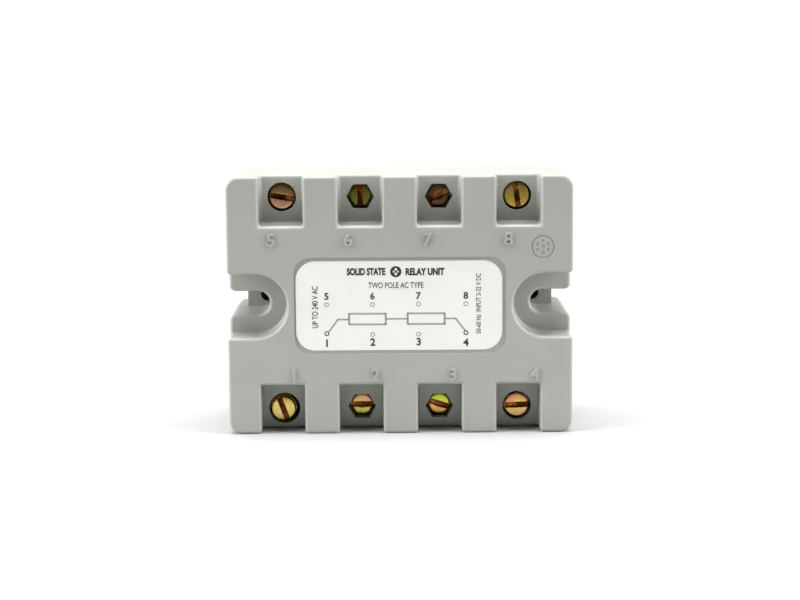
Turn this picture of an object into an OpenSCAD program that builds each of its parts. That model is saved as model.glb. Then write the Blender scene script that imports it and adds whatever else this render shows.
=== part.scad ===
// Eight-terminal solid state relay module.
// X runs across the case, Y from the front face to the back plate, Z up.
// The origin is under the middle of the case, on the surface it stands on.

/* [Case] */
// Width of the case
case_w = 101.6; // [96:0.2:110]
// Height of the case
case_h = 76.2; // [72:0.2:84]
// Depth of the case, front face to back plate
case_t = 44.5; // [40:0.5:50]
// Depth of the front cover, from the front face to the parting line
cover_t = 29; // [27:0.5:32]
// Wall of the mouldings
wall = 2.4; // [2:0.1:2.8]
// Radius of the four long corners
corner_r = 3.8; // [3:0.1:5]
// Rounding of the front edge
edge_r = 1; // [0.6:0.1:1.4]

/* [Terminal bays] */
// Distance between neighbouring terminals
term_pitch = 23.2; // [22:0.1:24]
// Distance of the terminals from the top and bottom edges
term_inset = 6.6; // [6:0.1:7.4]
// Width of a terminal bay
bay_w = 13; // [12:0.1:14]
// Height of a terminal bay
bay_h = 14.6; // [13:0.1:16]
// Depth of the bays and of the end recesses
bay_d = 8.7; // [7:0.1:10]
// Radius of a round screw pocket
pocket_r = 4.25; // [4.1:0.05:4.5]
// Radius of the wide screw pocket of the first terminal
wide_pocket_r = 4.6; // [4.55:0.05:4.8]
// How much lower the wide screw pocket sits than the others
wide_pocket_drop = 0.4; // [0:0.1:0.6]
// Width across flats of a hexagonal screw pocket
hex_af = 7.14; // [7.1:0.02:7.4]

/* [Mounting slots] */
// Radius of the round end recesses
recess_r = 9.45; // [9:0.05:10]
// Distance of a recess's round centre from the side
recess_in = 8.15; // [7.5:0.05:9]
// Radius of the slot ends
slot_r = 3.45; // [3.2:0.05:3.7]
// Distance of a slot's round centre from the side
slot_in = 8.55; // [8.4:0.05:9]
// Radius of the lips where a slot meets the side
slot_lip = 1.7; // [1:0.1:2]
// Depth of the notch that carries on behind each slot, in the rear housing
notch_in = 4; // [3:0.1:5]
// Distance of the mounting hole's centre from the side
hole_in = 10.16; // [9.96:0.02:10.26]
// Radius of the mounting hole, for an M3 or No. 4 screw
hole_r = 1.6; // [1.5:0.05:1.65]
// Outer radius of the mounting bushing
bushing_r = 2.1; // [2:0.05:2.2]

/* [Label] */
// Width of the label recess
label_recess_w = 62.4; // [58:0.2:64]
// Height of the label recess
label_recess_h = 28.4; // [26:0.2:30]
// Depth of the label recess
label_recess_d = 0.5; // [0.3:0.1:0.8]
// Width of the label
label_w = 60.6; // [56:0.2:61.4]
// Height of the label
label_h = 26.4; // [24:0.2:27.4]
// Thickness of the label
label_t = 0.2; // [0.1:0.05:0.3]

/* [Screws] */
// Radius of a terminal screw's shank, No. 6 thread
shank_r = 1.75; // [1.72:0.01:1.77]
// Length of a terminal screw under its head
shank_l = 7.9; // [7:0.1:8.4]
// Radius of an outer terminal's screw head
head_r = 3.65; // [3.4:0.05:3.75]
// Radius of an inner terminal's screw head
inner_head_r = 3.25; // [3:0.05:3.25]
// Height of a screw head
head_h = 2.3; // [2:0.1:2.6]
// Width of the driver slot
driver_w = 1.5; // [1.2:0.1:1.8]
// Depth of the outer heads below the bay floor
head_sink = 0.8; // [0.4:0.1:1.2]
// Depth of the inner heads below the bay floor
inner_head_sink = 3.4; // [3:0.1:3.8]
// Thickness of a clamp washer
washer_t = 0.8; // [0.6:0.1:0.9]

/* [Base plate] */
// Thickness of the base plate
plate_t = 3; // [2.5:0.1:3.5]

/* [Hidden] */
$fn = 48;
case_grey = "#a9aba4";
zinc_yellow = "#b89a4a";
brass_yellow = "#c8a858";
tin_grey = "#c9cacb";
ceramic_white = "#eeeae0";
board_green = "#2f6a45";
part_black = "#25262a";
gap = 0.05;
mid_z = case_h / 2;
plate_y = case_t - plate_t;
plate_w = case_w - 2 * (wall + gap);
plate_h = case_h - 2 * (wall + gap);
ledge = 2;
slot_wall = 1.8;
medal_x = 41.9;
medal_z = 55.2;
medal_r = 3.4;
board_y = 24;
board_t = 1.6;
boss_back = 22;
bore_r = 1.8;
loose_x = 0.45;
loose_z = 0.3;
tail_r = 1.2;
tail_out = 2;
case_screw_x = 45.4;
case_screw_z = 6;
case_screw_r = 1.4;
case_boss_r = 3.1;
pillar_x = 31;
pillar_dz = 20;
device_x = 15;
device_z = 33;
tab_t = 1.3;
insulator_t = 1;

// Terminals 1 to 4 are the lower row and 5 to 8 the upper row, left to right.
TERMS = [0:7];
function column(i) = i % 4;
function is_top(i) = i >= 4;
function is_outer(i) = column(i) == 0 || column(i) == 3;
function pocket_x(i) = (column(i) - 1.5) * term_pitch;
function pocket_z(i) = is_top(i) ? case_h - term_inset : term_inset - (i == 0 ? wide_pocket_drop : 0);
function term_x(i) = pocket_x(i) - (i == 0 ? loose_x : 0);
function term_z(i) = pocket_z(i) - (i == 0 ? loose_z : 0);
function pocket_radius(i) = i == 0 ? wide_pocket_r : pocket_r;
function head_radius(i) = is_outer(i) ? head_r : inner_head_r;
function head_y(i) = bay_d + (is_outer(i) ? head_sink : inner_head_sink);
function seat_y(i) = head_y(i) + head_h + washer_t;

// How far each driver slot is turned from level, seen from the front.
slot_turn = [-71, 0, -18, 2, -10, 90, 24, 98];

// A flat outline in X and Z, given its depth from y0 to y1 behind the front face.
module slab(y0, y1)
    translate([0, y1 - case_t / 2, 0]) rotate([90, 0, 0]) linear_extrude(y1 - y0) children();

// A round bar along Y at x, z.
module rod(x, z, y0, y1, r)
    translate([x, y1 - case_t / 2, z]) rotate([90, 0, 0]) cylinder(h = y1 - y0, r = r);

// A hexagonal bar along Y, points to the sides.
module hex_rod(x, z, y0, y1, af)
    translate([x, y1 - case_t / 2, z]) rotate([90, 0, 0])
        cylinder(h = y1 - y0, r = af / sqrt(3), $fn = 6);

// A box centred on x and z.
module block(x, z, w, h, y0, y1)
    translate([x - w / 2, y0 - case_t / 2, z - h / 2]) cube([w, y1 - y0, h]);

// A rectangle with round corners, centred on the case.
module rounded_rect(w, h, r)
    translate([0, mid_z]) {
        square([w - 2 * r, h], center = true);
        square([w, h - 2 * r], center = true);
        for (x = [-1, 1], z = [-1, 1])
            translate([x * (w / 2 - r), z * (h / 2 - r)]) circle(r);
    }

// A channel that is open to one side and has a round inner end.
module side_channel(side, r, inset)
    translate([side * (case_w / 2 - inset), mid_z]) {
        circle(r);
        translate([side > 0 ? 0 : -inset - 5, -r]) square([inset + 5, 2 * r]);
    }

// What rounds the two corners where a channel meets the side of the case.
module channel_lips(side, r, lip)
    for (z = [-1, 1])
        translate([side * case_w / 2, mid_z + z * r])
            mirror([side > 0 ? 1 : 0, 0]) mirror([0, z > 0 ? 0 : 1])
                difference() {
                    translate([-1, -1]) square([lip + 1, lip + 1]);
                    translate([lip, lip]) circle(lip);
                }

// The outline of the rear notches, which have a flat inner end.
module both_notches() {
    for (side = [-1, 1]) {
        translate([side * case_w / 2, mid_z]) square([2 * notch_in, 2 * slot_r], center = true);
        channel_lips(side, slot_r, slot_lip);
    }
}

// The channels of both sides.
module both_channels(r, inset, lip)
    for (side = [-1, 1]) {
        side_channel(side, r, inset);
        if (lip > 0) channel_lips(side, r, lip);
    }

module mid_square(w, h) translate([0, mid_z]) square([w, h], center = true);

// The outside of the case from y0 back, with a rounded front edge.
module rounded_front(y1) {
    slab(0, y1) rounded_rect(case_w - 2 * edge_r, case_h - 2 * edge_r, corner_r - edge_r);
    slab(edge_r, y1) rounded_rect(case_w, case_h, corner_r);
    for (x = [-1, 1])
        translate([x * (case_w / 2 - edge_r), edge_r - case_t / 2, corner_r])
            cylinder(h = case_h - 2 * corner_r, r = edge_r);
    for (z = [edge_r, case_h - edge_r])
        translate([-case_w / 2 + corner_r, edge_r - case_t / 2, z]) rotate([0, 90, 0])
            cylinder(h = case_w - 2 * corner_r, r = edge_r);
    for (x = [-1, 1], z = [corner_r, case_h - corner_r])
        translate([x * (case_w / 2 - corner_r), edge_r - case_t / 2, z]) rotate([90, 0, 0])
            rotate_extrude() translate([corner_r - edge_r, 0]) circle(edge_r);
}

module bays()
    for (i = TERMS)
        block(pocket_x(i), is_top(i) ? case_h - bay_h / 2 + 1 : bay_h / 2 - 1, bay_w, bay_h + 2, -1, bay_d);

module pockets()
    for (i = TERMS)
        if (is_outer(i)) rod(pocket_x(i), pocket_z(i), bay_d - 1, board_y + 0.5, pocket_radius(i));
        else hex_rod(pocket_x(i), pocket_z(i), bay_d - 1, board_y + 0.5, hex_af);

module case_screw_places()
    for (x = [-1, 1], z = [case_screw_z, case_h - case_screw_z])
        translate([x * case_screw_x, 0, z]) children();

// The hollow behind the cover's front wall, round the bays, slots and bosses.
module cover_hollow()
    difference() {
        union() {
            slab(bay_d + wall, cover_t + 1) mid_square(case_w - 2 * wall, case_h - 2 * wall);
            slab(wall, bay_d + wall + 1)
                mid_square(case_w - 2 * wall, case_h - 2 * (bay_h + wall));
            for (k = [-2:2], z = [wall, case_h - wall - bay_h])
                translate([0, 0, z]) block(k * 0.99 * term_pitch, bay_h / 2,
                    abs(k) == 2 ? 4.6 : term_pitch - bay_w - 2 * wall, bay_h, wall, bay_d + wall + 1);
        }
        slab(-1, bay_d + wall) both_channels(recess_r + slot_wall, recess_in, 0);
        slab(-1, cover_t + 2) both_channels(slot_r + slot_wall, slot_in, 0);
        for (i = TERMS)
            rod(pocket_x(i), pocket_z(i), bay_d, boss_back, is_outer(i) ? wide_pocket_r + 1.4 : 5.6);
        case_screw_places() rod(0, 0, 0, cover_t + 2, case_boss_r);
    }

module front_cover() color(case_grey)
    difference() {
        rounded_front(cover_t);
        cover_hollow();
        bays();
        pockets();
        slab(-1, bay_d) both_channels(recess_r, recess_in, 1.2);
        slab(-1, cover_t + 1) both_channels(slot_r, slot_in, slot_lip);
        slab(-1, label_recess_d) rounded_rect(label_recess_w, label_recess_h, 4.8);
        difference() {
            rod(medal_x, medal_z, -1, 0.3, medal_r);
            rod(medal_x, medal_z, -2, 1, medal_r - 0.5);
        }
        case_screw_places() rod(0, 0, cover_t - 14, cover_t + 1, case_screw_r);
    }

module rear_housing() color(case_grey)
    difference() {
        slab(cover_t, case_t) rounded_rect(case_w, case_h, corner_r);
        difference() {
            slab(cover_t - 1, plate_y + 1)
                mid_square(case_w - 2 * (wall + ledge), case_h - 2 * (wall + ledge));
            slab(cover_t - 2, case_t) both_channels(slot_r + slot_wall, slot_in, 0);
            case_screw_places() rod(0, 0, cover_t - 2, case_t, case_boss_r);
        }
        slab(plate_y, case_t + 1) rounded_rect(case_w - 2 * wall, case_h - 2 * wall, 2);
        slab(cover_t - 1, case_t + 1) both_notches();
        for (x = [-1, 1])
            rod(x * (case_w / 2 - hole_in), mid_z, cover_t - 1, case_t, bushing_r);
        case_screw_places() rod(0, 0, cover_t - 1, case_t, case_screw_r + 0.2);
    }

module base_plate() color(tin_grey)
    difference() {
        slab(plate_y, case_t) rounded_rect(plate_w, plate_h, 2);
        slab(plate_y - 1, case_t + 1) both_notches();
        for (x = [-1, 1])
            rod(x * (case_w / 2 - hole_in), mid_z, plate_y - 1, case_t + 1, bushing_r);
        case_screw_places() rod(0, 0, plate_y - 1, case_t + 1, case_screw_r + 0.2);
        case_screw_places() rod(0, 0, case_t - 1.7, case_t + 1, 2.9);
        for (x = [-1, 1], z = [-1, 1])
            rod(x * pillar_x, mid_z + z * pillar_dz, plate_y - 1, plate_y + 2.4, 1.5);
        for (x = [-1, 1])
            rod(x * device_x, device_z + 16.4, plate_y - 1, plate_y + 2.4, 1.5);
    }

module label() color("#f4f4f1")
    slab(label_recess_d - label_t, label_recess_d)
        translate([-0.3, 0]) rounded_rect(label_w, label_h, 5.9);

// A plated steel tube through the rear housing and the base plate.
module mount_bushing(side) color(zinc_yellow)
    translate([side * (case_w / 2 - hole_in), 0, 0])
        difference() {
            rod(0, mid_z, cover_t, case_t, bushing_r);
            rod(0, mid_z, cover_t - 1, case_t + 1, hole_r);
        }

module case_screws() color(zinc_yellow)
    case_screw_places() {
        rod(0, 0, cover_t - 12, case_t - 1.6, case_screw_r - 0.02);
        difference() {
            rod(0, 0, case_t - 1.6, case_t, 2.7);
            block(0, 0, 4.4, 0.8, case_t - 0.8, case_t + 1);
        }
    }

// A brass post with a blind threaded hole and a tail soldered in the board.
module terminal_post(i) color(brass_yellow)
    difference() {
        union() {
            if (is_outer(i)) rod(term_x(i), term_z(i), seat_y(i), board_y, 3.9);
            else hex_rod(term_x(i), term_z(i), seat_y(i), board_y, hex_af - 0.24);
            rod(term_x(i), term_z(i), board_y, board_y + board_t + tail_out, tail_r);
        }
        rod(term_x(i), term_z(i), seat_y(i) - 1, seat_y(i) + shank_l - washer_t + 0.3, bore_r);
    }

module clamp_washer(i) color(zinc_yellow)
    difference() {
        rod(term_x(i), term_z(i), seat_y(i) - washer_t, seat_y(i), head_radius(i) - 0.05);
        rod(term_x(i), term_z(i), seat_y(i) - 2, seat_y(i) + 1, shank_r + 0.05);
    }

// A slotted screw with a low domed head.
module terminal_screw(i) color(zinc_yellow)
    translate([term_x(i), head_y(i) - case_t / 2, term_z(i)])
        rotate([0, -slot_turn[i], 0])
            difference() {
                union() {
                    intersection() {
                        rotate([-90, 0, 0]) cylinder(h = head_h, r = head_radius(i));
                        translate([0, 2.4 * head_radius(i), 0]) sphere(r = 2.4 * head_radius(i));
                    }
                    translate([0, head_h, 0]) rotate([-90, 0, 0]) cylinder(h = shank_l, r = shank_r);
                }
                translate([-5, -1, -driver_w / 2]) cube([10, 2.3, driver_w]);
            }

module circuit_board() color(board_green)
    difference() {
        slab(board_y, board_y + board_t) mid_square(case_w - 8, case_h - 6);
        slab(board_y - 1, board_y + board_t + 1)
            for (x = [-1, 1]) translate([x * case_w / 2, mid_z]) square([30, 14], center = true);
        case_screw_places() rod(0, 0, board_y - 1, board_y + 3, case_boss_r + 0.5);
        for (i = TERMS)
            rod(term_x(i), term_z(i), board_y - 1, board_y + 3, tail_r + 0.1);
        for (x = [-1, 1], z = [-1, 1])
            rod(x * pillar_x, mid_z + z * pillar_dz, board_y - 1, board_y + 3, 1.6);
    }

module board_pillars() color(brass_yellow)
    for (x = [-1, 1], z = [-1, 1])
        difference() {
            union() {
                hex_rod(x * pillar_x, mid_z + z * pillar_dz, board_y + board_t, plate_y, 5);
                rod(x * pillar_x, mid_z + z * pillar_dz, plate_y, plate_y + 2.2, 1.45);
            }
            rod(x * pillar_x, mid_z + z * pillar_dz, board_y, board_y + board_t + 6, 1.5);
        }

module board_screws() color(zinc_yellow)
    for (x = [-1, 1], z = [-1, 1])
        translate([x * pillar_x, 0, mid_z + z * pillar_dz]) {
            rod(0, 0, board_y, board_y + board_t + 5, 1.45);
            difference() {
                rod(0, 0, board_y - 1.8, board_y, 2.8);
                block(0, 0, 6, 0.8, board_y - 3, board_y - 0.9);
            }
        }

// A power thyristor: metal tab on the insulator, moulded body, three bent leads.
module thyristor(side) {
    back = plate_y - insulator_t;
    color(tin_grey) difference() {
        block(side * device_x, device_z + 9.5, 15.6, 20, back - tab_t, back);
        rod(side * device_x, device_z + 16.4, back - 3, back + 1, 1.9);
    }
    color(part_black) block(side * device_x, device_z + 5.5, 15.6, 12, back - tab_t - 3.6, back - tab_t);
    color(tin_grey) for (k = [-1, 0, 1]) {
        block(side * device_x + 5.1 * k, device_z - 3.5, 1, 6, back - tab_t - 2, back - tab_t - 1.4);
        block(side * device_x + 5.1 * k, device_z - 6.2, 1, 0.6, board_y + board_t, back - tab_t - 1.4);
    }
}

module insulator(side) color(ceramic_white)
    difference() {
        block(side * device_x, device_z + 9, 19, 24, plate_y - insulator_t, plate_y);
        rod(side * device_x, device_z + 16.4, plate_y - 2, plate_y + 1, 1.9);
    }

module device_screws() color(zinc_yellow)
    for (x = [-1, 1])
        translate([x * device_x, 0, device_z + 16.4]) {
            rod(0, 0, plate_y - insulator_t - tab_t, plate_y + 2.2, 1.45);
            difference() {
                rod(0, 0, plate_y - insulator_t - tab_t - 2, plate_y - insulator_t - tab_t, 2.8);
                block(0, 0, 6, 0.8, plate_y - 6, plate_y - insulator_t - tab_t - 1);
            }
        }

// A six-legged optocoupler on the front of the board.
module optocoupler(side) {
    color(part_black) difference() {
        block(side * 9, 24, 8.8, 6.4, board_y - 4, board_y - 0.6);
        rod(side * 9 - 3.2, 22.2, board_y - 5, board_y - 3.8, 0.5);
    }
    color(tin_grey) for (k = [-1, 0, 1], z = [-1, 1]) {
        block(side * 9 + 2.54 * k, 24 + z * 3.45, 0.5, 0.5, board_y - 2.2, board_y);
    }
}

// A boxed film capacitor for the snubber.
module snubber_capacitor(side) {
    color("#c9a33a") block(side * 25, 44, 9, 22, board_y - 14, board_y - 0.4);
    color(tin_grey) for (z = [-1, 1]) rod(side * 25, 44 + 7.5 * z, board_y - 0.4, board_y, 0.4);
}

// An axial part lying on the board: body and two bent leads.
module axial(x, z, r, length, colour) {
    y = board_y - r - 0.4;
    color(colour) translate([x - length / 2, y - case_t / 2, z]) rotate([0, 90, 0])
        cylinder(h = length, r = r);
    color(tin_grey) for (s = [-1, 1]) {
        block(x + s * (length / 2 + 1), z, 2, 0.6, y - 0.3, y + 0.3);
        block(x + s * (length / 2 + 1.7), z, 0.6, 0.6, y + 0.3, board_y);
    }
}

module snubber_resistors() for (z = [62.4, 56.6]) axial(0, z, 2.2, 14, "#8fb0a8");

module control_resistors() for (k = [0:3]) axial(-21, 20 + 3.4 * k, 1.1, 6.3, "#caa877");

// A disc varistor standing on the board.
module varistor(side) {
    color("#31589c") translate([side * 11.5, board_y - 9.2 - case_t / 2, 46]) rotate([0, 90, 0])
        cylinder(h = 4.4, r = 7, center = true);
    color(tin_grey) for (z = [-1, 1]) block(side * 11.5, 46 + z * 3.6, 0.8, 0.8, board_y - 3.2, board_y);
}

module bridge_rectifier() {
    color(part_black) difference() {
        block(0, 35, 9, 9, board_y - 6.4, board_y - 0.6);
        rod(3.4, 38.4, board_y - 7, board_y - 6, 0.6);
    }
    color(tin_grey) for (x = [-1, 1], z = [-1, 1])
        rod(2.54 * x, 35 + 2.54 * z, board_y - 0.6, board_y, 0.4);
}

module smoothing_capacitor() {
    color("#2c2f6b") rod(24, 24, board_y - 12, board_y - 0.4, 4);
    color(tin_grey) for (x = [-1, 1]) rod(24 + 1.8 * x, 24, board_y - 0.4, board_y, 0.3);
}

module trigger_transistors()
    for (x = [-8, 8]) {
        color(part_black) difference() {
            rod(x, 33.5, board_y - 6.4, board_y - 1.6, 2.3);
            block(x, 31.4, 6, 1.8, board_y - 8, board_y);
        }
        color(tin_grey) for (k = [-1, 0, 1]) block(x + 1.27 * k, 33.5, 0.5, 0.5, board_y - 1.6, board_y);
    }

front_cover();
rear_housing();
base_plate();
label();
mount_bushing(-1);  // mount_bushing_left
mount_bushing(1);  // mount_bushing_right
case_screws();
for (i = TERMS) {
    terminal_post(i);
    clamp_washer(i);
    terminal_screw(i);
}
circuit_board();
board_pillars();
board_screws();
thyristor(-1);  // thyristor_left
thyristor(1);  // thyristor_right
insulator(-1);  // insulator_left
insulator(1);  // insulator_right
device_screws();
optocoupler(-1);  // optocoupler_left
optocoupler(1);  // optocoupler_right
snubber_capacitor(-1);  // snubber_capacitor_left
snubber_capacitor(1);  // snubber_capacitor_right
snubber_resistors();
varistor(-1);  // varistor_left
varistor(1);  // varistor_right
bridge_rectifier();
smoothing_capacitor();
control_resistors();
trigger_transistors();
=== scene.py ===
"""Solid state relay: grey moulded case, printed label and yellow plated terminal screws."""
import math
import bmesh
import bpy
from mathutils import Matrix, Vector


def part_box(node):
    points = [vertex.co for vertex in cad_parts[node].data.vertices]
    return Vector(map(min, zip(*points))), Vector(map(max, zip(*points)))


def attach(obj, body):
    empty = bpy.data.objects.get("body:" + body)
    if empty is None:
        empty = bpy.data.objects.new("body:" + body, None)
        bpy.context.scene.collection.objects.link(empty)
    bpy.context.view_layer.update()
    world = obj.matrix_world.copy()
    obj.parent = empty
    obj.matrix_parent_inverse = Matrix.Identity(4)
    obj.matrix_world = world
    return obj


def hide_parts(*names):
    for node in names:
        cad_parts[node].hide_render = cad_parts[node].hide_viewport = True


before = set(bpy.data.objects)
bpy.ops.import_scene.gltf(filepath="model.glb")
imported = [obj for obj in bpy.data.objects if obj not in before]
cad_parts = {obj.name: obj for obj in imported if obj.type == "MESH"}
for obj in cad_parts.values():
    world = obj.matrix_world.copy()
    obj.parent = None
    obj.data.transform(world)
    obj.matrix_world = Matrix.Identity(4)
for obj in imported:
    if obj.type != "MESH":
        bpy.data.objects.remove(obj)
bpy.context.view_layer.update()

MM = 0.001


# ---------------------------------------------------------------- sizes, in mm
COVER_LOW, COVER_HIGH = [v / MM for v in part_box("front_cover")]
FRONT = COVER_LOW.y
PARTING = COVER_HIGH.y
SIDE = COVER_HIGH.x
TOP = COVER_HIGH.z
MIDDLE = TOP / 2
CORNER_R = 3.8
EDGE_R = 1.0
WALL = 2.4

BAY_W, BAY_H = 13.0, 14.6
BAY_FLOOR = FRONT + 8.7
PITCH = 23.2
BAY_PLACES = [(column - 1.5) * PITCH for column in range(4)]
RECESS_R, RECESS_IN = 9.45, 8.15
SLOT_R, SLOT_IN, SLOT_LIP = 3.45, 8.55, 1.7
SLOT_WALL = 1.8
BOSS_BACK = FRONT + 22
POCKET_BACK = FRONT + 24.5
WIDE_POCKET_DROP = 0.4
POCKET_R, WIDE_POCKET_R, HEX_AF = 4.25, 4.6, 7.14
TERMINAL_INSET = 6.6

CASE_SCREWS = [(x, z) for x in (-45.4, 45.4) for z in (6, TOP - 6)]
LABEL_RECESS = (62.4, 28.4, 4.8, 0.5)  # width, height, corner radius and depth
NUMBERS = {  # terminal: x and z of the middle of its raised number
    1: (-31.4, 17.6), 2: (-7.4, 17.6), 3: (15.4, 17.6), 4: (39.6, 17.6),
    5: (-37.7, 57.6), 6: (-15.1, 57.6), 7: (8.1, 57.6), 8: (31.8, 57.6),
}
NUMBER_TALL, NUMBER_PROUD, NUMBER_ROUND = 3.9, 0.55, 0.1
MEDAL = (41.9, 55.2, 3.4)  # x, z and radius of the moulded ring
MEDAL_LINE, MEDAL_DEPTH = 0.42, 0.25

INK_T, INK_SUNK = 0.03, 0.01
LABEL_CORNER_R = 5.6
LABEL_COLUMNS = (-21.6, -8.1, 5.4, 19.3)
EMBLEM = (-1.2, 48.15, 1.65)
DIAGRAM_BOXES = ((-15.0, -4.25), (2.2, 13.05))
BOX_LINE, LEAD_LINE = 0.55, 0.5

HEAD_H, SHANK_L, SHANK_R, THREAD_ROOT_R = 2.3, 7.9, 1.73, 1.4
DRIVER_SLOT_W, DRIVER_SLOT_D = 1.6, 1.3
THREAD_PITCH = 0.794
OUTER_HEAD_R, INNER_HEAD_R = 3.65, 3.25
DOME_START = 0.1  # the flat rim starts this far behind the crown
FILM_DRIFT = 3.0  # the yellow film changes tone over this far up and down a head
FLOOR_SIZE, FLOOR_IN_FRONT = 10, 0.22  # metres
SLOT_TURN = {1: -71, 2: 0, 3: -18, 4: 2, 5: -10, 6: 90, 7: 24, 8: 98}  # degrees from level


# ---------------------------------------------------------------- modelling by hand
def only(piece):
    bpy.ops.object.select_all(action="DESELECT")
    piece.select_set(True)
    bpy.context.view_layer.objects.active = piece


def settle(piece):
    """Puts the piece's place, turn and size into its mesh."""
    only(piece)
    bpy.ops.object.transform_apply(location=True, rotation=True, scale=True)
    return piece


def named(name):
    piece = bpy.context.object
    piece.name = name
    piece.data.name = name
    return settle(piece)


def block(name, x, y, z):
    """A box from x[0] to x[1] and so on, in mm."""
    spans = (x, y, z)
    bpy.ops.object.select_all(action="DESELECT")
    bpy.ops.mesh.primitive_cube_add(
        size=1,
        location=[(a + b) / 2 * MM for a, b in spans],
        scale=[abs(b - a) * MM for a, b in spans],
    )
    return named(name)


def rod(name, x, z, y0, y1, r, sides=64):
    """A round bar along Y. With 6 sides its points face left and right."""
    bpy.ops.object.select_all(action="DESELECT")
    bpy.ops.mesh.primitive_cylinder_add(
        vertices=sides, radius=r * MM, depth=abs(y1 - y0) * MM,
        location=(x * MM, (y0 + y1) / 2 * MM, z * MM), rotation=(math.pi / 2, math.pi / 2, 0),
    )
    return named(name)


def turned_angle(edge):
    return edge.calc_face_angle(0) if len(edge.link_faces) == 2 else 0


def pick_edges(piece, wanted):
    """Leaves the piece in edit mode with the wanted edges selected."""
    only(piece)
    bpy.ops.object.mode_set(mode="EDIT")
    bpy.ops.mesh.select_mode(type="EDGE")
    bpy.ops.mesh.select_all(action="DESELECT")
    mesh = bmesh.from_edit_mesh(piece.data)
    for edge in mesh.edges:
        if wanted(edge):
            edge.select_set(True)
    bmesh.update_edit_mesh(piece.data)


def pick_faces(piece, wanted):
    """Leaves the piece in edit mode with the wanted faces selected, by their middle in mm and normal."""
    only(piece)
    bpy.ops.object.mode_set(mode="EDIT")
    bpy.ops.mesh.select_mode(type="FACE")
    bpy.ops.mesh.select_all(action="DESELECT")
    mesh = bmesh.from_edit_mesh(piece.data)
    for face in mesh.faces:
        if wanted(face.calc_center_median() / MM, face.normal):
            face.select_set(True)
    bmesh.update_edit_mesh(piece.data)


def round_edges(piece, width, steps, wanted):
    pick_edges(piece, wanted)
    bpy.ops.mesh.bevel(offset=width * MM, segments=steps, profile=0.5, affect="EDGES")
    bpy.ops.object.mode_set(mode="OBJECT")


def join(pieces, name):
    bpy.ops.object.select_all(action="DESELECT")
    for piece in pieces:
        piece.select_set(True)
    bpy.context.view_layer.objects.active = pieces[0]
    if len(pieces) > 1:
        bpy.ops.object.join()
    pieces[0].name = name
    return pieces[0]


def combine(piece, tools, operation):
    """Cuts the tools from the piece or adds them to it, one by one."""
    for tool in tools:
        only(piece)
        modifier = piece.modifiers.new(operation, "BOOLEAN")
        modifier.operation = operation
        modifier.solver = "EXACT"
        modifier.object = tool
        bpy.ops.object.modifier_apply(modifier=modifier.name)
        bpy.data.objects.remove(tool)


def cut(piece, tools):
    combine(piece, tools, "DIFFERENCE")


def near(a, b, slack=0.02):
    return abs(a - b) < slack


def edge_spans(edge):
    """The edge's two ends in mm."""
    return [v.co / MM for v in edge.verts]


def along_y(edge):
    """An edge that runs from front to back."""
    a, b = edge_spans(edge)
    return near(a.x, b.x) and near(a.z, b.z)


def clean(piece, merge=0.002):
    """Merges doubled points and dissolves what lies flat."""
    only(piece)
    bpy.ops.object.mode_set(mode="EDIT")
    bpy.ops.mesh.select_all(action="SELECT")
    bpy.ops.mesh.remove_doubles(threshold=merge * MM)
    bpy.ops.mesh.dissolve_degenerate(threshold=merge * MM)
    bpy.ops.object.mode_set(mode="OBJECT")


def smooth(piece, degrees=35):
    """Shades the rounds smooth and keeps the large flats flat."""
    only(piece)
    bpy.ops.object.shade_smooth_by_angle(angle=math.radians(degrees))
    flats = piece.modifiers.new("flats", "WEIGHTED_NORMAL")
    flats.keep_sharp = True
    flats.weight = 100
    bpy.ops.object.modifier_apply(modifier=flats.name)


def lettering(name, words, x, z, tall, face, raised, sunk, wide=None, bold=0.0, turn=0, soften=0.0):
    """Words that stand on a face towards the front, centred at x and z, sizes in mm."""
    bpy.ops.object.select_all(action="DESELECT")
    bpy.ops.object.text_add()
    piece = bpy.context.object
    piece.data.body = words
    piece.data.extrude = 0.1
    piece.data.offset = bold
    piece.data.resolution_u = 5
    if soften:
        piece.data.bevel_depth = soften * 0.28
        piece.data.bevel_resolution = 1
    bpy.ops.object.convert(target="MESH")
    size = piece.dimensions
    width = wide if wide else tall * size.x / size.y
    piece.scale = (width * MM / size.x, tall * MM / size.y, (raised + sunk) * MM / size.z)
    settle(piece)
    corners = [Vector(c) for c in piece.bound_box]
    middle = (min(corners, key=sum) + max(corners, key=sum)) / 2
    piece.data.transform(Matrix.Translation(-middle))
    piece.rotation_euler = (math.pi / 2, -math.radians(turn), 0)
    settle(piece)
    piece.location = (x * MM, (face + (sunk - raised) / 2) * MM, z * MM)
    settle(piece)
    clean(piece, 0.001)
    piece.name = name
    return piece


def finish_piece(piece, material, body, replaced=()):
    """Gives a piece its material and the body it moves with, and hides the CAD nodes it stands for."""
    if material is not None:
        piece.data.materials.clear()
        piece.data.materials.append(material)
    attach(piece, body)
    if replaced:
        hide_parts(*replaced)


# ---------------------------------------------------------------- materials
def colour(hex_code):
    """An sRGB hex value as linear red, green, blue and alpha."""
    parts = [int(hex_code[i : i + 2], 16) / 255 for i in (1, 3, 5)]
    linear = [c / 12.92 if c <= 0.04045 else ((c + 0.055) / 1.055) ** 2.4 for c in parts]
    return (*linear, 1.0)


def add(tree, kind, settings=None, links=None):
    """Adds a node, sets its properties and inputs, and links its inputs."""
    node = tree.nodes.new(kind)
    for key, value in (settings or {}).items():
        if isinstance(key, str) and hasattr(node, key):
            setattr(node, key, value)
        else:
            node.inputs[key].default_value = value
    for key, source in (links or {}).items():
        tree.links.new(source, node.inputs[key])
    return node


def new_material(name, settings):
    """A material with its Principled shader, and the piece's own coordinates."""
    material = bpy.data.materials.new(name)
    material.use_nodes = True
    tree = material.node_tree
    shader = tree.nodes["Principled BSDF"]
    for key, value in settings.items():
        shader.inputs[key].default_value = value
    place = add(tree, "ShaderNodeTexCoord").outputs["Object"]
    return material, tree, shader, place


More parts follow.
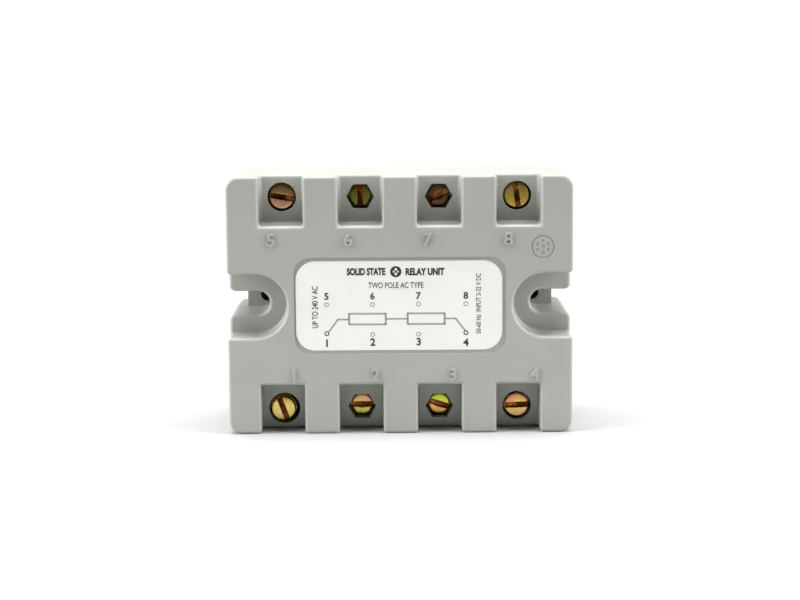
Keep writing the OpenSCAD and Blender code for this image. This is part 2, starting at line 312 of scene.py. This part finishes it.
def stops(tree, factor, colours):
    """A colour ramp with evenly spread stops, or (place, hex) pairs."""
    node = add(tree, "ShaderNodeValToRGB", links={"Fac": factor})
    ramp = node.color_ramp
    pairs = [c if isinstance(c, tuple) else (i / (len(colours) - 1), c) for i, c in enumerate(colours)]
    while len(ramp.elements) < len(pairs):
        ramp.elements.new(0.5)
    for element, (where, hex_code) in zip(ramp.elements, pairs):
        element.position = where
        element.color = colour(hex_code)
    return node.outputs["Color"]


def map_range(tree, value, low, high, to_low=0.0, to_high=1.0):
    """The value moved from one range to another, and held to it."""
    settings = {"From Min": low, "From Max": high, "To Min": to_low, "To Max": to_high}
    return add(tree, "ShaderNodeMapRange", settings, {"Value": value}).outputs["Result"]


def per_metre(size_mm):
    """Noise scale that makes features of this size."""
    return 1 / (size_mm * MM)


def mottle(tree, place, size_mm, detail, **more):
    """Cloudy variation with features of this size, from 0 to 1."""
    settings = {"Scale": per_metre(size_mm), "Detail": detail, **more}
    return add(tree, "ShaderNodeTexNoise", settings, {"Vector": place}).outputs["Fac"]


def roughen(tree, shader, height, strength, distance_mm):
    bump = add(tree, "ShaderNodeBump", {"Strength": strength, "Distance": distance_mm * MM}, {"Height": height})
    tree.links.new(bump.outputs["Normal"], shader.inputs["Normal"])


def moulded_plastic(name, light, dark, rough, grain_mm=0.25, depth_mm=0.006, ior=1.54):
    """Injection moulded plastic: fine satin grain from the tool, faint flow shading across the part."""
    material, tree, shader, place = new_material(name, {"IOR": ior})
    flow = mottle(tree, place, 22, 3, Roughness=0.55)
    tree.links.new(stops(tree, flow, [(0.3, dark), (0.7, light)]), shader.inputs["Base Color"])
    patches = mottle(tree, place, 6, 4)
    tree.links.new(map_range(tree, patches, 0, 1, rough - 0.05, rough + 0.06), shader.inputs["Roughness"])
    roughen(tree, shader, mottle(tree, place, grain_mm, 2), 0.35, depth_mm)
    return material


def zinc_yellow_chromate(name, tones, rough=0.27, slope=0.0, height=0.0, rim="#FFFFFF"):
    """Zinc plate passivated in yellow chromate: a thin film that shifts between gold, green and pink.

    The film drains while it dries, so its tone can also drift upwards through a height in mm.
    """
    material, tree, shader, place = new_material(name, {"Metallic": 1.0, "Specular Tint": colour(rim)})
    film = mottle(tree, place, 3.4, 2, Distortion=0.6)
    spots = mottle(tree, place, 0.5, 4)
    blend = add(tree, "ShaderNodeMath", {"operation": "MULTIPLY_ADD", 1: 0.3}, {0: spots, 2: film}).outputs[0]
    span = map_range(tree, blend, 0.42, 0.88)
    up = add(tree, "ShaderNodeSeparateXYZ", links={"Vector": place}).outputs["Z"]
    low, high = (height - FILM_DRIFT) * MM, (height + FILM_DRIFT) * MM
    drift = map_range(tree, up, low, high, -slope / 2, slope / 2)
    centred = add(tree, "ShaderNodeMath", {"operation": "SUBTRACT", 1: 0.5}, {0: span}).outputs[0]
    spread = {"operation": "MULTIPLY_ADD", 1: max(0.3, 1 - slope * 0.75), 2: 0.5}
    tone = add(tree, "ShaderNodeMath", spread, {0: centred}).outputs[0]
    tone = add(tree, "ShaderNodeMath", {"operation": "ADD"}, {0: tone, 1: drift}).outputs[0]
    tree.links.new(stops(tree, tone, tones), shader.inputs["Base Color"])
    tree.links.new(map_range(tree, spots, 0, 1, rough - 0.07, rough + 0.12), shader.inputs["Roughness"])
    roughen(tree, shader, spots, 0.3, 0.01)
    return material


def machined_metal(name, light, dark, rough, streak_axis="Z", streak_mm=0.12):
    """Bare metal with fine drawn or rolled lines along one axis and faint cloudiness."""
    material, tree, shader, place = new_material(name, {"Metallic": 1.0})
    squash = {"X": (0.04, 1, 1), "Y": (1, 0.04, 1), "Z": (1, 1, 0.04)}[streak_axis]
    along = add(tree, "ShaderNodeMapping", {"Scale": squash}, {"Vector": place}).outputs["Vector"]
    lines = mottle(tree, along, streak_mm, 3)
    cloud = mottle(tree, place, 7, 3)
    tree.links.new(stops(tree, cloud, [(0.3, dark), (0.7, light)]), shader.inputs["Base Color"])
    tree.links.new(map_range(tree, lines, 0, 1, rough - 0.08, rough + 0.12), shader.inputs["Roughness"])
    roughen(tree, shader, lines, 0.25, 0.008)
    return material


def printed_ink(name, light, dark):
    """Screen printed ink: thin, slightly uneven in tone, with a dull surface."""
    material, tree, shader, place = new_material(name, {"IOR": 1.5})
    uneven = mottle(tree, place, 0.35, 4)
    tree.links.new(stops(tree, uneven, [(0.3, dark), (0.7, light)]), shader.inputs["Base Color"])
    tree.links.new(map_range(tree, uneven, 0, 1, 0.45, 0.7), shader.inputs["Roughness"])
    return material


def label_film(name):
    """White polyester label stock: smooth, with faint waviness."""
    material, tree, shader, place = new_material(name, {"IOR": 1.5})
    tone = mottle(tree, place, 9, 3)
    tree.links.new(stops(tree, tone, [(0.3, "#E6E7E1"), (0.7, "#EAEBE5")]), shader.inputs["Base Color"])
    wave = mottle(tree, place, 4, 2)
    tree.links.new(map_range(tree, wave, 0, 1, 0.42, 0.52), shader.inputs["Roughness"])
    roughen(tree, shader, wave, 0.2, 0.01)
    return material


LABEL = label_film("white_polyester_label")
INK = printed_ink("black_screen_ink", "#34342F", "#262623")
GREY_INK = printed_ink("grey_screen_ink", "#A3A59D", "#989A92")
CASE = moulded_plastic("moulded_grey_abs", "#A5A7A0", "#A1A39C", 0.42)
CHROMATE = zinc_yellow_chromate(
    "zinc_yellow_chromate",
    [(0.0, "#8E7E2E"), (0.25, "#D0B455"), (0.5, "#B9B545"), (0.72, "#D9B873"), (1.0, "#CF9272")],
)
# Each terminal's tones keep the film's own hue; the darker tones of the upper heads 5 to 7, most of all 6 and
# 7, are painted shade for the dark surroundings those heads reflect.
SCREW_FILMS_AND_SHADE = {
    terminal: zinc_yellow_chromate(f"zinc_yellow_chromate_{terminal}", tones, 0.24, slope, height)
    for terminal, tones, slope, height in (
        (1, ["#B7A63C", "#D2C065", "#DCC978", "#D6BE6A", "#C8A75A"], 0.35, 5.9),
        (2, ["#A9C24A", "#BFC650", "#C9B05A", "#D9A077", "#DC9C86"], 1.0, 6.6),
        (3, ["#CE8350", "#DFAE62", "#D9C060", "#C8D048", "#B8D040"], 1.0, 6.6),
        (4, ["#D8B66A", "#D9A67C", "#CFBF58", "#DC9C70", "#D58A66"], 0.8, 6.6),
        (5, ["#E0A888", "#CFA07C", "#BC9468", "#B8905C", "#C49C5C"], 0.8, 69.6),
        (6, ["#8E8440", "#8A8A3C", "#7F8038", "#8C7E36", "#A08442"], 0.5, 69.6),
        (7, ["#7A5A4A", "#735546", "#6B573A", "#7C6A3E", "#8C7846"], 0.6, 69.6),
        (8, ["#C98C58", "#D8B45A", "#CDB24E", "#D9C070", "#E0C890"], 0.6, 69.6),
    )
}
# Painted shade: the bushing sits deep in the mounting slot, so its chromate is given dark brown tones and a
# dark specular tint in place of its own gold.
BUSHING_PAINTED_SHADE = zinc_yellow_chromate(
    "zinc_yellow_chromate_bushing_painted_shade", [(0.0, "#24160A"), (0.5, "#4A3014"), (1.0, "#8A6228")], 0.3,
    rim="#1E140A",
)
# Painted shade: the faces inside each driver slot get dark red-brown to copper chromate tones for the shade in
# the slot.
SLOT_PAINTED_SHADE = zinc_yellow_chromate(
    "zinc_yellow_chromate_slot_painted_shade",
    [(0.0, "#3A1608"), (0.45, "#5E2C12"), (0.75, "#96562A"), (1.0, "#D09250")], 0.36,
)
BRASS = machined_metal("turned_brass", "#D2B36A", "#B8964F", 0.3, "Y")
ALUMINIUM = machined_metal("rolled_aluminium", "#C3C5C6", "#BCBEC0", 0.36, "X", 0.2)
TINNED = machined_metal("tinned_copper", "#C4C6C8", "#A9ACAF", 0.3, "Y")
EPOXY = moulded_plastic("moulded_black_epoxy", "#222326", "#191A1C", 0.5, 0.12)
SOLDER_MASK = moulded_plastic("green_solder_mask", "#2C6A43", "#235A37", 0.3, 0.8)
ALUMINA = moulded_plastic("fired_alumina", "#EFEBE2", "#E5E0D5", 0.55, 0.15)
FILM_BOX = moulded_plastic("capacitor_box_pbt", "#C9A33A", "#BC9630", 0.38, 0.3)
VARISTOR_COAT = moulded_plastic("dipped_blue_epoxy", "#31589C", "#284C8A", 0.3, 1.2, 0.03)
CEMENT = moulded_plastic("silicone_cement_coat", "#8FB0A8", "#84A49C", 0.62, 0.4, 0.02)
SLEEVE = moulded_plastic("pvc_shrink_sleeve", "#2C2F6B", "#25285C", 0.28, 0.6)


# ---------------------------------------------------------------- front cover
def sharp(edge, degrees=50):
    return turned_angle(edge) > math.radians(degrees)


def channel(name, side, r, inset, y0, y1):
    """A cutter open to one side with a round inner end."""
    inner = side * (SIDE - inset - r)
    cutter = block(name, sorted((inner, side * (SIDE + 3))), (y0, y1), (MIDDLE - r, MIDDLE + r))
    round_edges(cutter, r * 0.9995, 14, lambda e: near(*[p.z for p in edge_spans(e)])
                and all(near(p.x, inner) for p in edge_spans(e)))
    return [cutter]


def bay_cutter(x, upper):
    z = (TOP - BAY_H, TOP + 3) if upper else (-3, BAY_H)
    return block("bay", (x - BAY_W / 2, x + BAY_W / 2), (FRONT - 3, BAY_FLOOR), z)


def shell_with_slots(name, y0, y1):
    """The case's outline between two depths, with the slots and their rounded lips."""
    shell = block(name, (-SIDE, SIDE), (y0, y1), (0, TOP))
    round_edges(shell, CORNER_R, 8, along_y)
    for side in (-1, 1):
        cut(shell, channel("slot", side, SLOT_R, SLOT_IN, y0 - 2, y1 + 2))
    round_edges(shell, SLOT_LIP, 5, lambda e: all(
        near(abs(p.x), SIDE) and near(abs(p.z - MIDDLE), SLOT_R) for p in edge_spans(e)))
    return shell


def cover_hollow():
    """The space inside the cover, round the bays, the slots and the screw bosses."""
    inner = SIDE - WALL
    hollow = block("hollow", (-inner, inner), (BAY_FLOOR + WALL, PARTING + 2), (WALL, TOP - WALL))
    spaces = [block("middle", (-inner + 0.01, inner - 0.01), (FRONT + WALL, BAY_FLOOR + WALL + 1),
                    (BAY_H + WALL, TOP - BAY_H - WALL))]
    for k in range(-2, 3):
        half = 2.3 if abs(k) == 2 else (PITCH - BAY_W) / 2 - WALL
        for z in ((WALL + 0.01, BAY_H + WALL + 1), (TOP - BAY_H - WALL - 1, TOP - WALL - 0.01)):
            x = k * 0.99 * PITCH
            y = (FRONT + WALL + 0.02, BAY_FLOOR + WALL + 0.9)
            spaces.append(block("rib_space", (x - half, x + half), y, z))
    combine(hollow, spaces, "UNION")
    for side in (-1, 1):
        cut(hollow, channel("recess_wall", side, RECESS_R + SLOT_WALL, RECESS_IN, FRONT - 1, BAY_FLOOR + WALL))
        cut(hollow, channel("slot_wall", side, SLOT_R + SLOT_WALL, SLOT_IN, FRONT - 1, PARTING + 3))
    bosses = []
    for column, x in enumerate(BAY_PLACES):
        r = WIDE_POCKET_R + 1.4 if column in (0, 3) else 5.6
        for z in (TERMINAL_INSET, TOP - TERMINAL_INSET):
            bosses.append(rod("boss", x, z, BAY_FLOOR, BOSS_BACK, r, 48))
    for x, z in CASE_SCREWS:
        bosses.append(rod("screw_boss", x, z, FRONT - 1, PARTING + 3, 3.1, 32))
    cut(hollow, bosses)
    return hollow


def front_cover():
    cover = shell_with_slots("case_front", FRONT, PARTING)
    for side in (-1, 1):
        cut(cover, channel("recess", side, RECESS_R, RECESS_IN, FRONT - 2, BAY_FLOOR))
    bays = [bay_cutter(x, upper) for x in BAY_PLACES for upper in (False, True)]
    cut(cover, [join(bays, "bays")])
    clean(cover)
    round_edges(cover, EDGE_R, 4, lambda e: sharp(e) and all(p.y < PARTING - 1 for p in edge_spans(e)))
    round_edges(cover, 0.15, 1, lambda e: sharp(e) and all(near(p.y, PARTING) for p in edge_spans(e)))
    cut(cover, [cover_hollow()])
    pockets = []
    for column, x in enumerate(BAY_PLACES):
        for upper in (False, True):
            z = TOP - TERMINAL_INSET if upper else TERMINAL_INSET
            round_pocket = column in (0, 3)
            r = POCKET_R if round_pocket else HEX_AF / math.sqrt(3)
            if column == 0 and not upper:
                r, z = WIDE_POCKET_R, z - WIDE_POCKET_DROP
            pockets.append(rod("pocket", x, z, BAY_FLOOR - 1, POCKET_BACK, r, 64 if round_pocket else 6))
    for x, z in CASE_SCREWS:
        pockets.append(rod("pilot", x, z, PARTING - 14, PARTING + 1, 1.4, 24))
    cut(cover, [join(pockets, "pockets")])
    round_edges(cover, 0.25, 2, lambda e: sharp(e, 60) and all(
        near(p.y, BAY_FLOOR) and min(p.z, TOP - p.z) < BAY_H - 2 for p in edge_spans(e)))
    w, h, r, d = LABEL_RECESS
    well = block("label_well", (-w / 2, w / 2), (FRONT - 2, FRONT + d), (MIDDLE - h / 2, MIDDLE + h / 2))
    round_edges(well, r, 10, along_y)
    cut(cover, [well])
    round_edges(cover, 0.18, 2, lambda e: sharp(e, 60) and all(
        near(p.y, FRONT) and abs(p.x) < w / 2 + 1 and abs(p.z - MIDDLE) < h / 2 + 1 for p in edge_spans(e)))
    x, z, r = MEDAL
    ring = rod("medal_ring", x, z, FRONT - 1, FRONT + MEDAL_DEPTH, r, 64)
    cut(ring, [rod("medal_core", x, z, FRONT - 2, FRONT + 1, r - MEDAL_LINE, 64)])
    marks = [ring, rod("medal_dot", x, z, FRONT - 1, FRONT + 0.2, 0.6, 24)]
    for k in range(6):
        turn = math.radians(60 * k + 30)
        marks.append(rod("medal_dot", x + 1.75 * math.cos(turn), z + 1.75 * math.sin(turn),
                         FRONT - 1, FRONT + 0.2, 0.5, 24))
    cut(cover, [join(marks, "medal")])
    round_edges(cover, 0.08, 1, lambda e: sharp(e, 60) and all(
        near(p.y, FRONT) and math.hypot(p.x - x, p.z - z) < r + 0.1 for p in edge_spans(e)))
    clean(cover)
    smooth(cover)
    numbers = [
        lettering(f"number_{n}", str(n), at_x, at_z, NUMBER_TALL, FRONT, NUMBER_PROUD, 0.1, soften=NUMBER_ROUND)
        for n, (at_x, at_z) in NUMBERS.items()
    ]
    cover = join([cover] + numbers, "case_front")
    finish_piece(cover, CASE, "root", ["front_cover"])
    return cover


front_cover()


# ---------------------------------------------------------------- label and its print
def label():
    low, high = [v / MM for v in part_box("label")]
    plate = block("label_plate", (low.x, high.x), (low.y, high.y), (low.z, high.z))
    round_edges(plate, LABEL_CORNER_R, 14, along_y)
    round_edges(plate, 0.05, 2, lambda e: sharp(e) and all(near(p.y, low.y) for p in edge_spans(e)))
    smooth(plate)
    finish_piece(plate, LABEL, "root", ["label"])
    return low.y


def words_in_ink(name, words, x, z, tall, face, **shape):
    return lettering(name, words, x, z, tall, face, INK_T, INK_SUNK, **shape)


def dot_in_ink(name, x, z, face, r, sides):
    return rod(name, x, z, face - INK_T, face + INK_SUNK, r, sides)


def line(name, points, width, face):
    """A printed line through points in X and Z, its joints covered by round dots."""
    parts = []
    for (x0, z0), (x1, z1) in zip(points, points[1:]):
        length = math.hypot(x1 - x0, z1 - z0)
        part = block(name, (-length / 2, length / 2), (face - INK_T, face + INK_SUNK), (-width / 2, width / 2))
        part.rotation_euler.y = -math.atan2(z1 - z0, x1 - x0)
        part.location = ((x0 + x1) / 2 * MM, 0, (z0 + z1) / 2 * MM)
        parts.append(settle(part))
    for x, z in points[1:-1]:
        parts.append(dot_in_ink(name, x, z, face, width / 2, 16))
    return parts


def ring_mark(x, z, face):
    ring = dot_in_ink("ring_mark", x, z, face, 0.72, 28)
    cut(ring, [rod("ring_hole", x, z, face - 1, face + 1, 0.42, 24)])
    return [ring]


def emblem_disc(face):
    """A plain disc with four holes between the two words of the title."""
    x, z, r = EMBLEM
    emblem = dot_in_ink("emblem", x, z, face, r, 40)
    holes = ((x, z + 0.65, 0.42), (x, z - 0.65, 0.42), (x - 0.65, z, 0.28), (x + 0.65, z, 0.28))
    cut(emblem, [rod("emblem_hole", hx, hz, face - 1, face + 1, hr, 24) for hx, hz, hr in holes])
    return emblem


def print_on_label(face):
    """Title, ratings and terminal numbers in black, the two-box diagram in grey."""
    black = [
        words_in_ink("title", "SOLID STATE", -9.9, 48.2, 2.2, face, wide=11.3, bold=0.05),
        words_in_ink("title", "RELAY UNIT", 7.35, 48.1, 2.2, face, wide=11.4, bold=0.05),
        words_in_ink("rating", "TWO POLE AC TYPE", -1.2, 44.15, 1.75, face, wide=16.2, bold=0.008),
        emblem_disc(face),
    ]
    for n, x, z in zip((1, 2, 3, 4), LABEL_COLUMNS, (27.1, 27.35, 27.35, 27.1)):
        black.append(words_in_ink("foot_number", str(n), x, z, 2.3, face, bold=0.03))
    grey = []
    for n, x in zip((5, 6, 7, 8), LABEL_COLUMNS):
        black.append(words_in_ink("head_number", str(n), x, 41.0, 2.1, face, bold=0.03))
        grey += ring_mark(x, 38.5, face)
    for x in LABEL_COLUMNS[1:3]:
        grey += ring_mark(x, 29.6, face)
    black += ring_mark(LABEL_COLUMNS[0], 29.95, face) + ring_mark(LABEL_COLUMNS[3], 29.95, face)
    for x0, x1 in DIAGRAM_BOXES:
        corners = [(x0, 35.8), (x1, 35.75), (x1, 32.6), (x0, 32.65), (x0, 35.8)]
        grey += line("resistance", corners, BOX_LINE, face)
        grey.append(dot_in_ink("resistance", x0, 35.8, face, BOX_LINE / 2, 16))
    (far_left, left), (right, far_right) = DIAGRAM_BOXES
    grey += line("lead", [(left, 34.2), (right, 34.2)], LEAD_LINE, face)
    grey += line("lead", [(far_left, 34.1), (-18.3, 34.1), (-21.0, 30.5)], LEAD_LINE, face)
    grey += line("lead", [(far_right, 34.2), (16.3, 34.2), (19.1, 30.6)], LEAD_LINE, face)
    black += [
        words_in_ink("side_words", "UP TO 240 V AC", -25.0, 37.8, 1.75, face, wide=12.4, bold=0.012, turn=90),
        words_in_ink("side_words", "50-60 Hz  INPUT 3-32 V DC", 23.0, 38.6, 1.45, face,
                     wide=17.8, bold=0.01, turn=90),
    ]
    for name, parts, ink in (("label_print", black, INK), ("label_diagram", grey, GREY_INK)):
        finish_piece(join(parts, name), ink, "root")


print_on_label(label())


# ---------------------------------------------------------------- terminal screws
def screw_master(name, r):
    """A slotted screw along Y, its head's front at 0: low dome, round rim, threaded shank."""
    screw = rod(name, 0, 0, DOME_START, HEAD_H, r, 72)
    round_edges(screw, 0.4, 5, lambda e: all(near(p.y, DOME_START) for p in edge_spans(e)))
    round_edges(screw, 0.12, 2, lambda e: all(near(p.y, HEAD_H) for p in edge_spans(e)))
    pick_faces(screw, lambda c, n: n.y < -0.99 and near(c.y, DOME_START))
    for inward, forward in ((0.45, 0.035), (0.75, 0.03), (0.85, 0.025), (0.7, 0.01)):
        bpy.ops.mesh.inset(thickness=inward * MM, depth=0)
        bpy.ops.transform.translate(value=(0, -forward * MM, 0))
    bpy.ops.object.mode_set(mode="OBJECT")
    pick_faces(screw, lambda c, n: n.y > 0.99 and near(c.y, HEAD_H))
    bpy.ops.mesh.inset(thickness=(r - 0.12 - THREAD_ROOT_R) * MM, depth=0)
    radius, y = THREAD_ROOT_R, HEAD_H
    turns = int((SHANK_L - 0.7) / THREAD_PITCH)
    # each step of the thread: how far along, and the radius there; the last is the chamfered end
    steps = [(0.3, THREAD_ROOT_R)]
    for _ in range(turns):
        steps += [(0.32, SHANK_R), (0.09, SHANK_R), (0.3, THREAD_ROOT_R), (THREAD_PITCH - 0.71, THREAD_ROOT_R)]
    steps.append((SHANK_L - 0.3 - turns * THREAD_PITCH, 1.1))
    for forward, wanted in steps:
        y += forward
        bpy.ops.mesh.extrude_region_move(TRANSFORM_OT_translate={"value": (0, forward * MM, 0)})
        if wanted != radius:
            narrower = wanted / radius
            bpy.ops.transform.resize(value=(narrower, 1, narrower), center_override=(0, y * MM, 0))
        radius = wanted
    bpy.ops.object.mode_set(mode="OBJECT")
    half = DRIVER_SLOT_W / 2
    cut(screw, [block("driver_slot", (-6, 6), (-1, DRIVER_SLOT_D), (-half, half))])
    round_edges(screw, 0.07, 2, lambda e: sharp(e, 40) and all(
        near(abs(p.z), half) and p.y < DRIVER_SLOT_D - 0.05 for p in edge_spans(e)))
    clean(screw)
    smooth(screw, 30)
    return screw


def terminal_screws():
    masters = {}
    for terminal, film in SCREW_FILMS_AND_SHADE.items():
        low, high = [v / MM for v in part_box(f"terminal_screw_{terminal}")]
        outer = terminal in (1, 4, 5, 8)
        if outer not in masters:
            masters[outer] = screw_master("screw_master", OUTER_HEAD_R if outer else INNER_HEAD_R)
        only(masters[outer])
        bpy.ops.object.duplicate(linked=False)
        screw = bpy.context.object
        screw.rotation_euler.y = -math.radians(SLOT_TURN[terminal])
        settle(screw)
        screw.location = ((low.x + high.x) / 2 * MM, low.y * MM, (low.z + high.z) / 2 * MM)
        screw = named(f"screw_{terminal}")
        finish_piece(screw, film, f"screw_{terminal}", [f"terminal_screw_{terminal}"])
        # The faces inside the driver slot take this second material, which paints the slot's shade.
        screw.data.materials.append(SLOT_PAINTED_SHADE)
        turn = math.radians(SLOT_TURN[terminal])
        for face in screw.data.polygons:
            c = face.center / MM
            dx, dz = c.x - (low.x + high.x) / 2, c.z - (low.z + high.z) / 2
            across = -dx * math.sin(turn) + dz * math.cos(turn)
            if abs(across) < DRIVER_SLOT_W / 2 + 0.01 and c.y - low.y < DRIVER_SLOT_D + 0.01:
                face.material_index = 1
    for master in masters.values():
        bpy.data.objects.remove(master)


terminal_screws()


# ---------------------------------------------------------------- the CAD's own pieces
def soften(node, width):
    """Breaks a CAD piece's sharp edges with modifiers that stay live."""
    piece = bpy.data.objects[node]
    weld = piece.modifiers.new("weld", "WELD")
    weld.merge_threshold = 0.005 * MM
    flat = piece.modifiers.new("flat", "DECIMATE")
    flat.decimate_type = "DISSOLVE"
    flat.angle_limit = math.radians(0.5)
    bevel = piece.modifiers.new("edges", "BEVEL")
    bevel.width = width * MM
    bevel.segments = 2
    bevel.limit_method = "ANGLE"
    bevel.angle_limit = math.radians(40)
    bevel.use_clamp_overlap = True
    bevel.harden_normals = False


def dress_cad():
    """Gives every CAD piece its own finish, the replaced ones too, and softens those that can be seen."""
    finishes = {
        "front_cover": CASE, "rear_housing": CASE, "base_plate": ALUMINIUM, "label": LABEL,
        # the mount bushing takes the darkened chromate that paints the shade of the slot
        "mount_bushing": BUSHING_PAINTED_SHADE, "case_screws": CHROMATE, "clamp_washer": CHROMATE,
        "terminal_screw": CHROMATE, "terminal_post": BRASS, "board_pillars": BRASS,
        "circuit_board": SOLDER_MASK, "board_screws": TINNED, "device_screws": TINNED,
        "thyristor": EPOXY, "optocoupler": EPOXY, "bridge_rectifier": EPOXY, "trigger_transistors": EPOXY,
        "insulator": ALUMINA, "snubber_capacitor": FILM_BOX, "varistor": VARISTOR_COAT,
        "snubber_resistors": CEMENT, "control_resistors": CEMENT, "smoothing_capacitor": SLEEVE,
    }
    rounding = {
        "rear_housing": 0.25, "base_plate": 0.3, "mount_bushing": 0.15, "case_screws": 0.15,
        "terminal_post": 0.12, "clamp_washer": 0.1, "board_pillars": 0.15, "circuit_board": 0.08,
    }
    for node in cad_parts:
        kind = next(k for k in sorted(finishes, key=len, reverse=True) if node.startswith(k))
        piece = bpy.data.objects[node]
        piece.data.materials.clear()
        piece.data.materials.append(finishes[kind])
        if kind in rounding:
            soften(node, rounding[kind])


dress_cad()


# ---------------------------------------------------------------- camera, floor and light
def paper_floor():
    """A sheet of matt white paper that ends in front of the object, below what the camera sees."""
    paper, tree, shader, place = new_material("matt_white_paper", {"Roughness": 0.9, "IOR": 1.45})
    tone = mottle(tree, place, 60, 3)
    tree.links.new(stops(tree, tone, ["#B2B2B2", "#B6B6B6"]), shader.inputs["Base Color"])
    bpy.ops.object.select_all(action="DESELECT")
    bpy.ops.mesh.primitive_plane_add(size=FLOOR_SIZE, location=(0, FLOOR_SIZE / 2 - FLOOR_IN_FRONT, 0))
    floor = named("floor")
    floor.data.materials.append(paper)


def softbox(name, strength, spread, turn, height):
    """A broad far lamp, its directions in degrees: spread, turn from the front, height above the floor."""
    sun = bpy.data.lights.new(name, "SUN")
    sun.energy = strength
    sun.angle = math.radians(spread)
    lamp = bpy.data.objects.new(name, sun)
    lamp.rotation_euler = (math.radians(90 - height), 0, math.radians(turn))
    lamp.location = (0, 0, 1)
    bpy.context.collection.objects.link(lamp)


def room():
    """A dim room with a bright strip low behind the object and a soft glow below the front edge."""
    world = bpy.data.worlds.new("studio")
    bpy.context.scene.world = world
    world.use_nodes = True
    tree = world.node_tree
    outward = add(tree, "ShaderNodeTexCoord").outputs["Generated"]
    split = add(tree, "ShaderNodeSeparateXYZ", links={"Vector": outward})
    rise = map_range(tree, split.outputs["Z"], 0.05, 0.35, 2.0, 0.15)
    back = map_range(tree, split.outputs["Y"], -0.1, 0.4, 0.06, 1.0)
    strip = add(tree, "ShaderNodeMath", {"operation": "MULTIPLY"}, {0: rise, 1: back}).outputs[0]
    below = map_range(tree, split.outputs["Z"], -0.12, 0.01, 0.4, 0.0)
    light = add(tree, "ShaderNodeMath", {"operation": "ADD"}, {0: strip, 1: below}).outputs[0]
    background = tree.nodes["Background"]
    background.inputs["Color"].default_value = (1, 1, 1, 1)
    tree.links.new(light, background.inputs["Strength"])


def studio():
    paper_floor()
    softbox("overhead", 5.0, 56, 180, 82)
    softbox("left_softbox", 3.8, 40, -77, 26)
    softbox("right_softbox", 3.4, 40, 77, 26)
    room()


def camera():
    data = bpy.data.cameras.new("camera")
    data.lens, data.sensor_width = 86.03, 36
    data.shift_x, data.shift_y = 0.0057, 0.0184
    data.clip_start, data.clip_end = 0.05, 50
    eye = bpy.data.objects.new("camera", data)
    eye.location = (-0.00139, -0.57807, 0.11374)
    tilt, roll = math.radians(90 - 8.017), math.radians(-0.413)
    eye.rotation_euler = (Matrix.Rotation(tilt, 3, "X") @ Matrix.Rotation(roll, 3, "Z")).to_euler()
    bpy.context.collection.objects.link(eye)
    bpy.context.scene.camera = eye


studio()
camera()
bpy.context.scene.view_settings.view_transform = "Standard"
